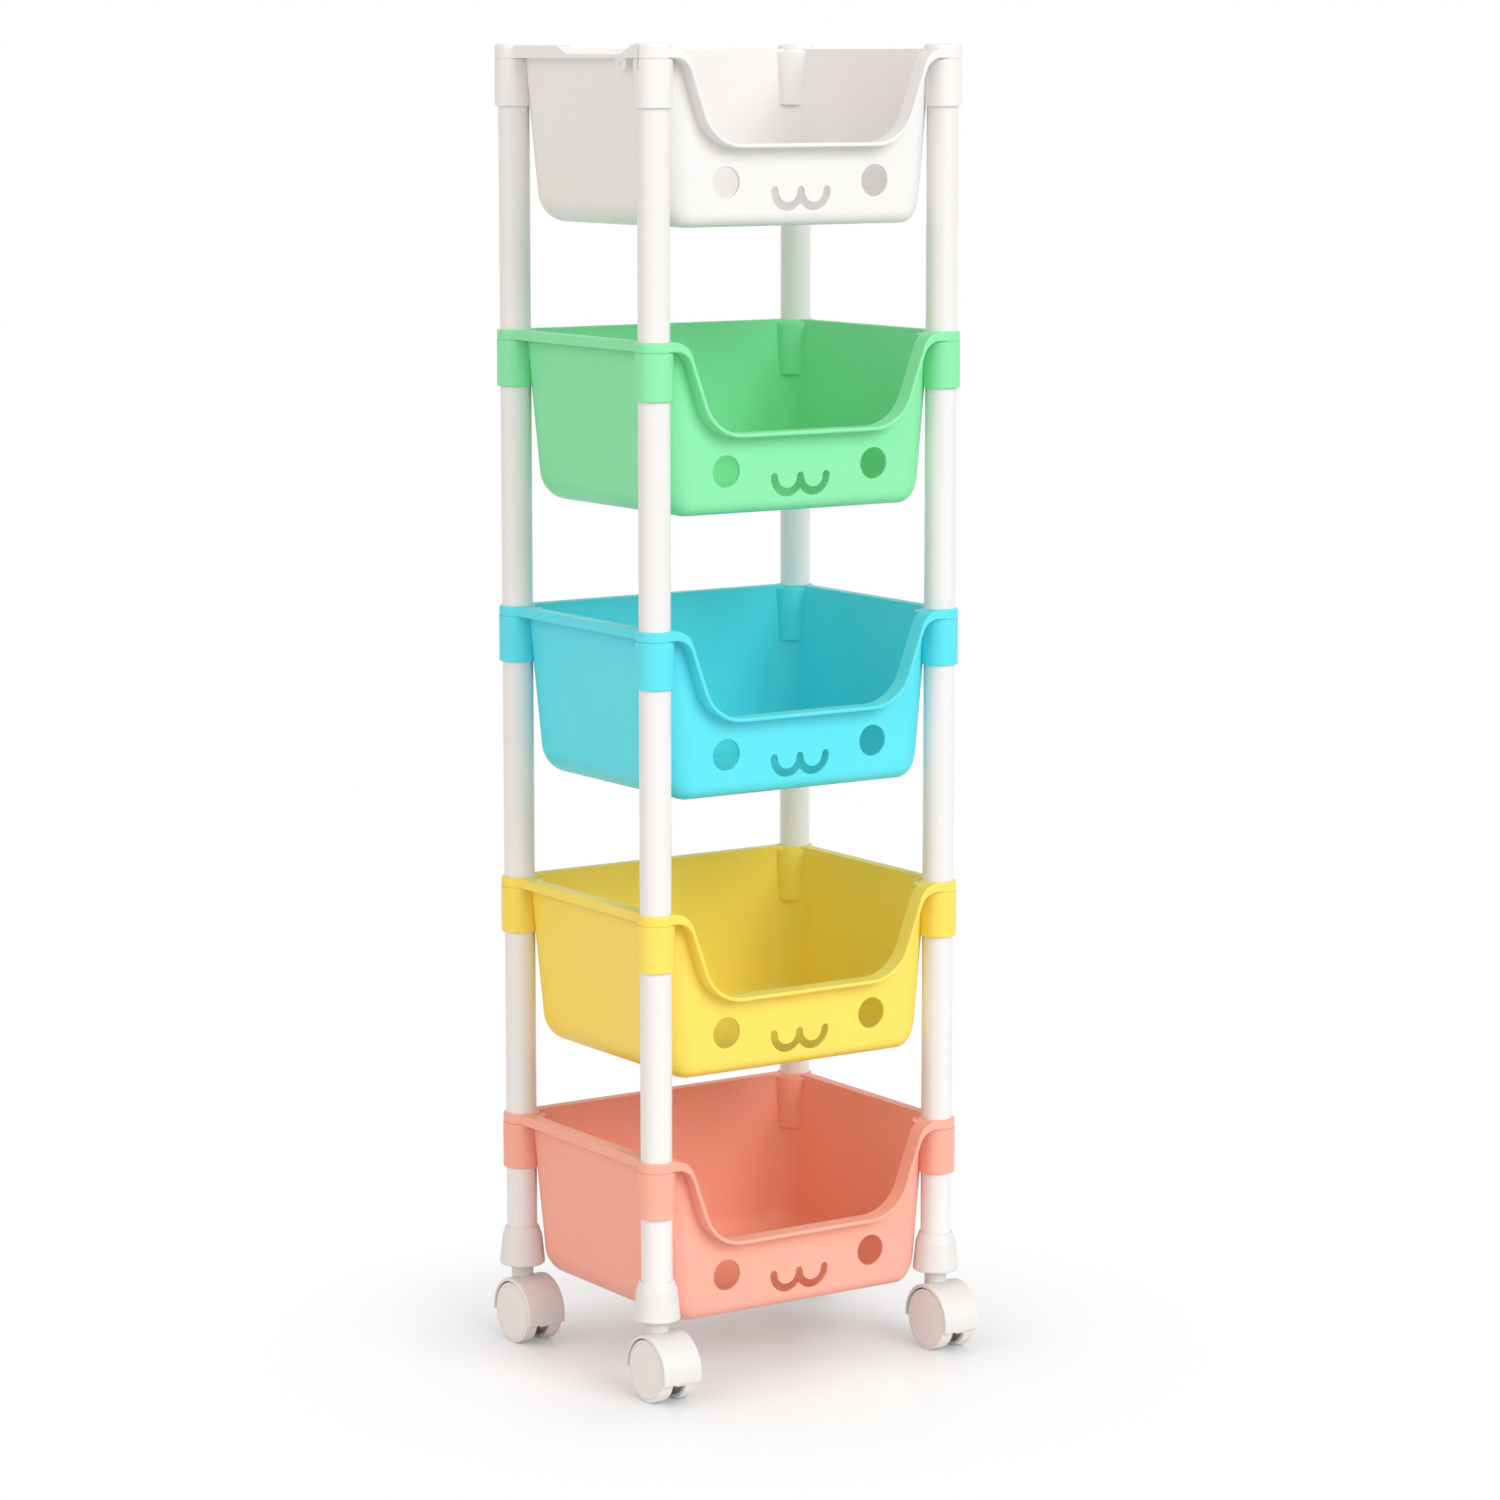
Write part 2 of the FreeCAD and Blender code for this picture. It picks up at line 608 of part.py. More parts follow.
def make_stem():
    """Steel stem: a pivot for the hood, a flange under the foot and a grooved plug."""
    pivot_end = wheel_radius + PIVOT_ABOVE_AXLE + PIVOT_END_GAP
    flange_low = foot_bottom - FLANGE_THICKNESS
    ring_top = stem_top - GRIP_RING_BELOW_TOP
    ring_low = ring_top - GRIP_RING_HEIGHT
    groove = stem_radius - GRIP_RING_THICKNESS
    flange = FLANGE_DIAMETER / 2
    return turned([
        (0, pivot_end),
        (pivot_radius - STEM_CHAMFER / 2, pivot_end),
        (pivot_radius, pivot_end + STEM_CHAMFER / 2),
        (pivot_radius, flange_low),
        (flange, flange_low),
        (flange, foot_bottom),
        (stem_radius, foot_bottom),
        (stem_radius, ring_low),
        (groove, ring_low),
        (groove, ring_top),
        (stem_radius, ring_top),
        (stem_radius, stem_top - STEM_CHAMFER),
        (stem_radius - STEM_CHAMFER, stem_top),
        (0, stem_top),
    ])


def make_grip_ring():
    """Split spring ring in the stem's groove."""
    top = stem_top - GRIP_RING_BELOW_TOP - RUNNING_CLEARANCE
    low = top - GRIP_RING_HEIGHT + 2 * RUNNING_CLEARANCE
    outer = stem_radius + RUNNING_CLEARANCE
    inner = stem_radius - GRIP_RING_THICKNESS + RUNNING_CLEARANCE
    ring = cylinder(outer, low, top).cut(cylinder(inner, low, top))
    opening = Part.makeBox(2 * outer, GRIP_RING_OPENING, GRIP_RING_HEIGHT)
    opening.translate(vec(0, -GRIP_RING_OPENING / 2, low))
    return ring.cut(opening)


def hood_arch(radius):
    """Cylinder across the caster, centred on the axle and as wide as the hood."""
    return cross_cylinder(radius, -hood_half_width, hood_half_width, -CASTER_TRAIL, wheel_radius)


def make_hood():
    """Hood over both wheels, with the neck above and the web that carries the axle between."""
    width = 2 * hood_half_width
    low_front = Part.makeBox(width, hood_radius, hood_radius + HOOD_FRONT_DROP)
    low_front.translate(vec(-hood_half_width, -CASTER_TRAIL - hood_radius, -HOOD_FRONT_DROP))
    low_back = Part.makeBox(width, hood_radius, hood_radius + HOOD_BACK_DROP)
    low_back.translate(vec(-hood_half_width, -CASTER_TRAIL, -HOOD_BACK_DROP))
    shade = hood_arch(hood_radius)
    round_edges = [e for e in shade.Edges if e.Closed and len(e.Vertexes) == 1]
    shade = shade.makeFillet(HOOD_EDGE_RADIUS, round_edges)
    keep = low_front.fuse(low_back)
    keep.translate(vec(0, 0, wheel_radius))
    shade = shade.common(keep).cut(hood_arch(hood_inner_radius))
    web = cross_cylinder(
        hood_inner_radius + HOOD_WALL / 2,
        -WEB_THICKNESS / 2,
        WEB_THICKNESS / 2,
        -CASTER_TRAIL,
        wheel_radius,
    )
    web_low = wheel_radius - WEB_DROP - hood_radius
    web_bottom = Part.makeBox(width, 2 * hood_radius, hood_radius)
    web_bottom.translate(vec(-hood_half_width, -CASTER_TRAIL - hood_radius, web_low))
    neck = cylinder(NECK_DIAMETER / 2, wheel_radius, neck_top).cut(hood_arch(hood_inner_radius))
    hood = shade.fuse([web.cut(web_bottom), neck])
    pivot_end = wheel_radius + PIVOT_ABOVE_AXLE
    pivot_bore = cylinder(pivot_radius + RUNNING_CLEARANCE, pivot_end, neck_top + CUT_MARGIN)
    axle_bore = hood_arch(axle_radius + FIT_CLEARANCE)
    return hood.cut([pivot_bore, axle_bore]).removeSplitter().Solids[0]


def make_axle():
    return cross_cylinder(axle_radius, -axle_end_x, axle_end_x, -CASTER_TRAIL, wheel_radius)


def make_wheel():
    """Right wheel: rounded tread, grooved outer face and a hollow behind it, round a hub."""
    bore = axle_radius + RUNNING_CLEARANCE
    hub = bore + WHEEL_HUB_WALL
    face = WHEEL_WIDTH - WHEEL_FACE
    rim = wheel_radius - WHEEL_RIM
    wheel = turned([
        (0, WHEEL_WIDTH),
        (0, WHEEL_WIDTH - AXLE_COVER),
        (bore, WHEEL_WIDTH - AXLE_COVER),
        (bore, 0),
        (hub, 0),
        (hub, face),
        (rim, face),
        (rim, 0),
        (wheel_radius, 0),
        (wheel_radius, WHEEL_WIDTH),
        (rim + WHEEL_GROOVE, WHEEL_WIDTH),
        (rim + WHEEL_GROOVE / 2, WHEEL_WIDTH - WHEEL_GROOVE),
        (rim, WHEEL_WIDTH),
    ])
    tread_edges = edges_where(wheel, lambda p: math.hypot(p.x, p.y) > wheel_radius - TOLERANCE)
    wheel = wheel.makeFillet(WHEEL_EDGE_RADIUS, [e for e in tread_edges if e.Closed])
    wheel.rotate(vec(0, 0, 0), vec(0, 1, 0), 90)
    wheel.translate(vec(wheel_inner_x, -CASTER_TRAIL, wheel_radius))
    return wheel


def placed(shape, x, y, z):
    copy = shape.copy()
    copy.translate(vec(x, y, z))
    return copy


def build_nodes():
    """Every piece of the rack in its place, by name."""
    nodes = {}
    plain_tub = make_tub(False)
    top_tub = make_tub(True)
    for colour, rim in zip(TUB_NAMES, rim_heights):
        tub = top_tub if colour == TUB_NAMES[-1] else plain_tub
        nodes["tub_" + colour] = placed(tub, 0, CASTER_TRAIL, rim)
    right_wheel = make_wheel()
    left_wheel = right_wheel.mirror(vec(0, 0, 0), vec(1, 0, 0))
    fittings = {
        "leg_tube_": make_tube(leg_seat, rim_heights[0] - stop_underside),
        "foot_socket_": make_foot_socket(),
        "caster_stem_": make_stem(),
        "grip_ring_": make_grip_ring(),
        "caster_hood_": make_hood(),
        "wheel_axle_": make_axle(),
    }
    for gap in range(upper_gaps):
        low = rim_heights[gap] - STOP_DROP
        high = rim_heights[gap + 1] - stop_underside
        fittings["post_tube_%d_" % (gap + 1)] = make_tube(low, high)
    for corner, (sx, sy) in CORNERS.items():
        x, y = sx * half_x, sy * half_y + CASTER_TRAIL
        for name, shape in fittings.items():
            nodes[name + corner] = placed(shape, x, y, 0)
        nodes["wheel_" + corner + "_left"] = placed(left_wheel, x, y, 0)
        nodes["wheel_" + corner + "_right"] = placed(right_wheel, x, y, 0)
    return nodes


os.makedirs("parts", exist_ok=True)
for node, solid in build_nodes().items():
    if not solid.isValid() or len(solid.Solids) != 1:
        raise ValueError(node + " is not one valid solid")
    solid.exportStep("parts/" + node + ".step")
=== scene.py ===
import math

import bpy
from bpy.props import FloatProperty, FloatVectorProperty, PointerProperty
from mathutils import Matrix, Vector

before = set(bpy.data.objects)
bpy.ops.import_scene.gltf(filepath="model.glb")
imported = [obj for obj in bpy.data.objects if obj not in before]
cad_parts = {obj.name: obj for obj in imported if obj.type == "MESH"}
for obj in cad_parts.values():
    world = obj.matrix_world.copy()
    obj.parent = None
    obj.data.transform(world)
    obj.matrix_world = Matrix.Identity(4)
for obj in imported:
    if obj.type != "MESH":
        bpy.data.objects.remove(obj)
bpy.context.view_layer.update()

bl_info = {
    "name": "Rolling Toy Shelf",
    "version": (1, 0, 0),
    "blender": (4, 5, 0),
    "location": "View3D > Sidebar > Toy Shelf",
    "description": "Finishes the five tubs, posts and casters of a rolling toy shelf and sets its studio",
    "category": "Object",
}

TUB_SHADES = ("white", "green", "blue", "yellow", "pink")

# Fixed tones, in linear values
WHITE = (1.0, 1.0, 1.0, 1.0)
SCUFF_TONE = (0.9, 0.9, 0.88, 1.0)
DUST_TONE = (0.74, 0.72, 0.69, 1.0)
RUBBED_STEEL = (0.75, 0.75, 0.74, 1.0)
FLOOR_TONE = (0.8, 0.8, 0.8, 1.0)
FLOOR_TONE_SEEN = (1.0, 1.06, 1.09, 1.0)
# Grey of the floor's painted shadow, an emission that darkens the floor under pieces standing close above
PAINTED_FLOOR_SHADOW = (0.36, 0.35, 0.345, 1.0)

# Patterns: how many to a length, and the span of a noise over which a mask rises
PATCHES_PER_WAVE = 2.3
STREAKS_PER_SCUFF = 9.0
PATCHES_PER_SCUFF = 0.5
SCUFF_STRETCHES = ((0.12, 0.12, 1.7), (1.1, 0.9, 0.09))
STREAK_SPAN = (0.62, 0.72)
PATCH_SPAN = (0.5, 0.68)
DUST_SPAN = (0.35, 0.75)
DUSTY_SLOPES = (0.55, 0.98)
RUNS_PER_METRE = 320.0
RUN_STRETCH = (1.0, 1.0, 0.04)
RUN_SPREAD = 0.12

# Wear: how far a scuff pales the colour, the tubes' share of scuffs, and what wear adds to the roughness
SCUFF_PALING = 0.35
TUBE_WEAR_SHARE = 0.6
PLASTIC_SCUFF_ROUGHNESS = 0.18
PAINT_SCUFF_ROUGHNESS = 0.2
STEEL_SCUFF_ROUGHNESS = 0.15
DUST_ROUGHNESS = 0.3

# Plastics: how much light goes below the surface, and how much rougher the wheels are
TUB_SUBSURFACE = 0.1
FITTING_SUBSURFACE = 0.05
WHEEL_EXTRA_ROUGHNESS = 0.08

# Studio, with the lamps' angles in degrees
KEY_LAMP = {"colour": (1.0, 1.0, 1.0), "heading": 8, "height": 30, "spread": 38}
FILL_LAMP = {"colour": (1.0, 0.83, 0.74), "heading": -85, "height": 25, "spread": 60}
LAMP_DISTANCE = 3
FLOOR_SIDES = 96
FLOOR_GLOSS = 0.1
FLOOR_ROUGHNESS = 0.22
CAMERA_REACH = 100


# Sizes and colours

def shade(name, description, default):
    """A colour that the sidebar shows as a swatch, in linear values."""
    return FloatVectorProperty(
        name=name, description=description, default=default, subtype="COLOR", size=3, min=0, max=1)


def length(name, description, default):
    """A size in metres."""
    return FloatProperty(
        name=name, description=description, default=default, unit="LENGTH", subtype="DISTANCE", min=0,
        precision=5)


def share(name, description, default):
    """A value from none to all."""
    return FloatProperty(
        name=name, description=description, default=default, subtype="FACTOR", min=0, max=1)


class TOYSHELF_colours(bpy.types.PropertyGroup):
    """Colours of the tubs and of the hardware"""

    white: shade("White tub", "Plastic of the top tub", (0.86, 0.85, 0.84))
    green: shade("Green tub", "Plastic of the second tub", (0.26, 0.82, 0.42))
    blue: shade("Blue tub", "Plastic of the middle tub", (0.11, 0.76, 0.87))
    yellow: shade("Yellow tub", "Plastic of the fourth tub", (0.96, 0.74, 0.12))
    pink: shade("Pink tub", "Plastic of the lowest tub", (0.95, 0.44, 0.34))
    tube: shade("Tubes", "Paint of the post and leg tubes", (0.84, 0.83, 0.82))
    fitting: shade("Fittings", "Plastic of the foot sockets and caster hoods", (0.78, 0.77, 0.76))
    wheel: shade("Wheels", "Plastic of the wheels", (0.85, 0.83, 0.81))
    steel: shade("Steel", "Stems, grip rings and axles", (0.58, 0.58, 0.57))


class TOYSHELF_surface(bpy.types.PropertyGroup):
    """Grain, gloss and wear of the surfaces"""

    grain: length("Grain", "Size of the moulded grain", 0.0011)
    grain_depth: length("Grain depth", "Height of the moulded grain", 0.00004)
    wave: length("Waviness", "Length of the shallow waves that moulding leaves in a wall", 0.055)
    wave_depth: length("Wave depth", "Height of these waves", 0.0005)
    scuff: length("Scuff", "Length of a scuff from handling", 0.018)
    wear: share("Wear", "How much the handled places are scuffed", 0.35)
    dust: share("Dust", "How much dust lies on faces that look up", 0.08)
    plastic_gloss: share("Plastic roughness", "Roughness of the satin plastic", 0.4)
    paint_gloss: share("Paint roughness", "Roughness of the painted tubes", 0.3)
    steel_gloss: share("Steel roughness", "Roughness of the plated steel", 0.32)


class TOYSHELF_studio(bpy.types.PropertyGroup):
    """Floor, lamps and camera"""

    floor_radius: length("Floor radius", "Half the width of the floor disc", 8.0)
    fade_start: length("Fade start", "Distance from the shelf at which the floor begins to fade", 0.14)
    fade_end: length("Fade end", "Distance at which the floor is plain white", 0.42)
    # Reach of the floor's painted shadow: how near a piece has to be for the painted shade to darken the
    # floor below it
    painted_shadow_reach: length("Contact", "How near a piece has to be to darken the floor below it", 0.1)
    # Share of the floor near the shelf that the camera sees as painted shade, an emission, instead of the
    # lit floor
    painted_shadow_share: share("Evenness", "How much of the floor under the shelf is plain shade without tints", 0.5)
    key: FloatProperty(name="Key", description="Strength of the soft key light", default=1.85, min=0)
    fill: FloatProperty(name="Fill", description="Strength of the soft fill light", default=0.95, min=0)
    sky: FloatProperty(
        name="Sky", description="Strength of the even light from all round", default=0.46, min=0)
    lens: FloatProperty(
        name="Lens", description="Focal length of the camera", default=109.45, unit="CAMERA", min=10)
    camera_place: FloatVectorProperty(
        name="Camera place", description="Where the camera stands", default=(-2.019, -3.0387, 1.0456),
        subtype="TRANSLATION", unit="LENGTH", size=3)
    camera_turn: FloatProperty(
        name="Camera turn", description="Heading of the camera from straight ahead", unit="ROTATION",
        default=math.radians(-33.793))
    camera_dip: FloatProperty(
        name="Camera dip", description="How far the camera looks down", unit="ROTATION",
        default=math.radians(8.594))


# Shader nodes

def joined(tree, source, target):
    """The source feeds the target."""
    tree.links.new(source, target)


def added(tree, kind, values=None, **settings):
    """A new node with its settings and its sockets' values, given by name or number."""
    node = tree.nodes.new(kind)
    for name, value in settings.items():
        setattr(node, name, value)
    for key, value in (values or {}).items():
        if isinstance(value, bpy.types.NodeSocket):
            joined(tree, value, node.inputs[key])
        else:
            node.inputs[key].default_value = value
    return node


def maths(tree, operation, first, second=0.0, third=0.0, clamp=False):
    """The result of a sum on one to three values."""
    node = added(
        tree, "ShaderNodeMath", {0: first, 1: second, 2: third}, operation=operation, use_clamp=clamp)
    return node.outputs[0]


def remapped(tree, value, low, high, to_low=0.0, to_high=1.0):
    """Value turned smoothly from one span to another."""
    node = added(
        tree, "ShaderNodeMapRange",
        {"Value": value, "From Min": low, "From Max": high, "To Min": to_low, "To Max": to_high},
        interpolation_type="SMOOTHSTEP")
    return node.outputs["Result"]


def mixed(tree, factor, first, second):
    """A colour between two, whose sockets have these numbers on a mix node of colours."""
    node = added(tree, "ShaderNodeMix", {0: factor, 6: first, 7: second}, data_type="RGBA")
    return node.outputs[2]


def noise(tree, place, scale, detail=2.0, roughness=0.5):
    """A cloudy value from 0 to 1."""
    node = added(
        tree, "ShaderNodeTexNoise",
        {"Vector": place, "Scale": scale, "Detail": detail, "Roughness": roughness})
    return node.outputs[0]


def object_place(tree):
    """The place on the piece."""
    return added(tree, "ShaderNodeTexCoord").outputs["Object"]


def scaled(tree, place, factor):
    """The place stretched along each axis."""
    return added(tree, "ShaderNodeVectorMath", {0: place, 1: factor}, operation="MULTIPLY").outputs[0]


def swing(tree, value, amount):
    """How far a value from 0 to 1 lies from its middle, times an amount."""
    return maths(tree, "MULTIPLY", maths(tree, "SUBTRACT", value, 0.5), amount)


# Shared effects

def new_effect(name, inputs, outputs):
    """A shader node group with its sockets, its input node and its output node."""
    tree = bpy.data.node_groups.new(name, "ShaderNodeTree")
    for socket, default in inputs:
        kind = "NodeSocketColor" if isinstance(default, tuple) else "NodeSocketFloat"
        tree.interface.new_socket(socket, in_out="INPUT", socket_type=kind).default_value = default
    for socket, kind in outputs:
        tree.interface.new_socket(socket, in_out="OUTPUT", socket_type=kind)
    return tree, tree.nodes.new("NodeGroupInput"), tree.nodes.new("NodeGroupOutput")


def moulded_skin():
    """Fine grain over shallow waves, as a height in metres, and the roughness that goes with it."""
    tree, given, put = new_effect(
        "Moulded Skin",
        [("Grain", 0.001), ("Grain Depth", 0.00004), ("Wave", 0.05), ("Wave Depth", 0.0005),
         ("Roughness", 0.4), ("Spread", 0.06)],
        [("Height", "NodeSocketFloat"), ("Roughness", "NodeSocketFloat")])
    place = object_place(tree)
    grain_scale = maths(tree, "DIVIDE", 1.0, given.outputs["Grain"])
    wave_scale = maths(tree, "DIVIDE", 1.0, given.outputs["Wave"])
    patch_scale = maths(tree, "DIVIDE", PATCHES_PER_WAVE, given.outputs["Wave"])
    fine = noise(tree, place, grain_scale, detail=1.0)
    broad = noise(tree, place, wave_scale, detail=1.0, roughness=0.3)
    patch = noise(tree, place, patch_scale, detail=3.0, roughness=0.6)
    fine_height = maths(tree, "MULTIPLY", fine, given.outputs["Grain Depth"])
    height = maths(tree, "MULTIPLY_ADD", broad, given.outputs["Wave Depth"], fine_height)
    joined(tree, height, put.inputs["Height"])
    change = swing(tree, patch, given.outputs["Spread"])
    roughness = maths(tree, "ADD", given.outputs["Roughness"], change, clamp=True)
    joined(tree, roughness, put.inputs["Roughness"])
    return tree


def colour_drift():
    """The slight change of shade that pigment leaves from place to place."""
    tree, given, put = new_effect(
        "Colour Drift",
        [("Color", (0.8, 0.8, 0.8, 1.0)), ("Size", 0.09), ("Amount", 0.04)],
        [("Color", "NodeSocketColor")])
    scale = maths(tree, "DIVIDE", 1.0, given.outputs["Size"])
    cloud = noise(tree, object_place(tree), scale, detail=3.0, roughness=0.55)
    change = swing(tree, cloud, given.outputs["Amount"])
    node = added(
        tree, "ShaderNodeHueSaturation",
        {"Color": given.outputs["Color"], "Value": maths(tree, "ADD", 1.0, change),
         "Saturation": maths(tree, "SUBTRACT", 1.0, change)})
    joined(tree, node.outputs[0], put.inputs["Color"])
    return tree


def handling_scuffs():
    """Thin scuffs in two directions that come in patches, from 0 to 1."""
    tree, given, put = new_effect(
        "Handling Scuffs", [("Length", 0.02), ("Amount", 0.3)], [("Mask", "NodeSocketFloat")])
    place = object_place(tree)
    streak_scale = maths(tree, "DIVIDE", STREAKS_PER_SCUFF, given.outputs["Length"])
    patch_scale = maths(tree, "DIVIDE", PATCHES_PER_SCUFF, given.outputs["Length"])
    lines = []
    for stretch in SCUFF_STRETCHES:
        streak = noise(tree, scaled(tree, place, stretch), streak_scale, roughness=0.7)
        lines.append(remapped(tree, streak, *STREAK_SPAN))
    patch = remapped(tree, noise(tree, place, patch_scale), *PATCH_SPAN)
    mask = maths(tree, "MULTIPLY", maths(tree, "MAXIMUM", *lines), patch)
    amount = maths(tree, "MULTIPLY", mask, given.outputs["Amount"], clamp=True)
    joined(tree, amount, put.inputs["Mask"])
    return tree


def settled_dust():
    """Thin dust on faces that look up, from 0 to 1."""
    tree, given, put = new_effect(
        "Settled Dust", [("Amount", 0.2), ("Size", 0.03)], [("Mask", "NodeSocketFloat")])
    facing = added(tree, "ShaderNodeNewGeometry").outputs["Normal"]
    upward = added(tree, "ShaderNodeSeparateXYZ", {0: facing}).outputs["Z"]
    scale = maths(tree, "DIVIDE", 1.0, given.outputs["Size"])
    cloud = noise(tree, object_place(tree), scale, detail=4.0, roughness=0.6)
    lying = maths(
        tree, "MULTIPLY", remapped(tree, upward, *DUSTY_SLOPES), remapped(tree, cloud, *DUST_SPAN))
    amount = maths(tree, "MULTIPLY", lying, given.outputs["Amount"], clamp=True)
    joined(tree, amount, put.inputs["Mask"])
    return tree


def paint_film():
    """Orange peel as a height in metres, and a roughness that changes in faint runs along a tube."""
    tree, given, put = new_effect(
        "Paint Film", [("Peel", 0.003), ("Depth", 0.00003), ("Roughness", 0.3)],
        [("Height", "NodeSocketFloat"), ("Roughness", "NodeSocketFloat")])
    place = object_place(tree)
    peel_scale = maths(tree, "DIVIDE", 1.0, given.outputs["Peel"])
    peel = noise(tree, place, peel_scale, detail=1.0, roughness=0.4)
    runs = noise(tree, scaled(tree, place, RUN_STRETCH), RUNS_PER_METRE)
    joined(tree, maths(tree, "MULTIPLY", peel, given.outputs["Depth"]), put.inputs["Height"])
    change = swing(tree, runs, RUN_SPREAD)
    roughness = maths(tree, "ADD", given.outputs["Roughness"], change, clamp=True)
    joined(tree, roughness, put.inputs["Roughness"])
    return tree


EFFECTS = {
    "Moulded Skin": moulded_skin,
    "Colour Drift": colour_drift,
    "Handling Scuffs": handling_scuffs,
    "Settled Dust": settled_dust,
    "Paint Film": paint_film,
}


def effect(tree, name, values):
    """A shared effect placed in a material with its own values."""
    group = bpy.data.node_groups.get(name) or EFFECTS[name]()
    return added(tree, "ShaderNodeGroup", values, node_tree=group)


# Finishes

def new_finish(name, **constants):
    """A material with a Principled shader, of which the given sockets keep one value all over."""
    material = bpy.data.materials.new(name)
    material.use_nodes = True
    tree = material.node_tree
    shader = tree.nodes["Principled BSDF"]
    for socket, value in constants.items():
        shader.inputs[socket.replace("_", " ")].default_value = value
    return material, tree, shader


def bumped(tree, height, shader):
    """The height, in metres, feeds the shader's normal."""
    bump = added(tree, "ShaderNodeBump", {"Height": height, "Strength": 1.0, "Distance": 1.0})
    joined(tree, bump.outputs[0], shader.inputs["Normal"])


def worn_colour(tree, colour, scuffs, dust):
    """Colour with pale scuffs and a thin grey veil of dust."""
    pale = mixed(tree, SCUFF_PALING, colour, SCUFF_TONE)
    scuffed = mixed(tree, scuffs, colour, pale)
    return mixed(tree, dust, scuffed, DUST_TONE)


def satin_plastic(name, colour, roughness, subsurface):
    """Moulded plastic with grain, faint waves, pigment drift, scuffs and dust."""
    surface = bpy.context.scene.toyshelf_surface
    material, tree, shader = new_finish(
        name, IOR=1.48, Specular_IOR_Level=0.35, Subsurface_Weight=subsurface,
        Subsurface_Radius=(1.0, 0.75, 0.6), Subsurface_Scale=0.004)
    skin = effect(tree, "Moulded Skin", {
        "Grain": surface.grain, "Grain Depth": surface.grain_depth,
        "Wave": surface.wave, "Wave Depth": surface.wave_depth, "Roughness": roughness})
    drift = effect(tree, "Colour Drift", {"Color": (*colour, 1.0)})
    scuffing = effect(tree, "Handling Scuffs", {"Length": surface.scuff, "Amount": surface.wear})
    scuffs = scuffing.outputs["Mask"]
    dust = effect(tree, "Settled Dust", {"Amount": surface.dust}).outputs["Mask"]
    joined(tree, worn_colour(tree, drift.outputs["Color"], scuffs, dust), shader.inputs["Base Color"])
    rougher = maths(tree, "MULTIPLY_ADD", scuffs, PLASTIC_SCUFF_ROUGHNESS, skin.outputs["Roughness"])
    dusty = maths(tree, "MULTIPLY_ADD", dust, DUST_ROUGHNESS, rougher, clamp=True)
    joined(tree, dusty, shader.inputs["Roughness"])
    bumped(tree, skin.outputs["Height"], shader)
    return material


def painted_steel(name, colour):
    """White paint on a drawn tube, with a little orange peel and dust."""
    surface = bpy.context.scene.toyshelf_surface
    material, tree, shader = new_finish(name, IOR=1.5)
    film = effect(tree, "Paint Film", {"Roughness": surface.paint_gloss})
    drift = effect(tree, "Colour Drift", {"Color": (*colour, 1.0), "Size": 0.14, "Amount": 0.03})
    wear = surface.wear * TUBE_WEAR_SHARE
    scuffs = effect(tree, "Handling Scuffs", {"Length": surface.scuff, "Amount": wear}).outputs["Mask"]
    dust = effect(tree, "Settled Dust", {"Amount": surface.dust}).outputs["Mask"]
    joined(tree, worn_colour(tree, drift.outputs["Color"], scuffs, dust), shader.inputs["Base Color"])
    rougher = maths(
        tree, "MULTIPLY_ADD", scuffs, PAINT_SCUFF_ROUGHNESS, film.outputs["Roughness"], clamp=True)
    joined(tree, rougher, shader.inputs["Roughness"])
    bumped(tree, film.outputs["Height"], shader)
    return material


def plated_steel(name, colour):
    """Zinc-plated steel with drift in its shade and fine scuffs."""
    surface = bpy.context.scene.toyshelf_surface
    material, tree, shader = new_finish(name, Metallic=1.0)
    film = effect(tree, "Paint Film", {"Peel": 0.0012, "Depth": 0.00001, "Roughness": surface.steel_gloss})
    drift = effect(tree, "Colour Drift", {"Color": (*colour, 1.0), "Size": 0.006, "Amount": 0.12})
    scuffs = effect(tree, "Handling Scuffs", {"Length": 0.006, "Amount": surface.wear}).outputs["Mask"]
    joined(tree, mixed(tree, scuffs, drift.outputs["Color"], RUBBED_STEEL), shader.inputs["Base Color"])
    rougher = maths(
        tree, "MULTIPLY_ADD", scuffs, STEEL_SCUFF_ROUGHNESS, film.outputs["Roughness"], clamp=True)
    joined(tree, rougher, shader.inputs["Roughness"])
    bumped(tree, film.outputs["Height"], shader)
    return material


def named(*starts):
    """CAD nodes whose names begin with one of these."""
    found = sorted(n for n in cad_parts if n.startswith(starts))
    if not found:
        raise RuntimeError("The frame has no piece named " + " or ".join(starts))
    return found


def dress(names, material):
    """Give CAD nodes a finish."""
    for name in names:
        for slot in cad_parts[name].material_slots:
            slot.material = material


# Stage

def seen_directly(tree):
    """1 for rays from the camera, from a reflection or through something clear, and else 0."""
    path = added(tree, "ShaderNodeLightPath")
    either = maths(tree, "MAXIMUM", path.outputs["Is Camera Ray"], path.outputs["Is Glossy Ray"])
    return maths(tree, "MAXIMUM", either, path.outputs["Is Transmission Ray"])


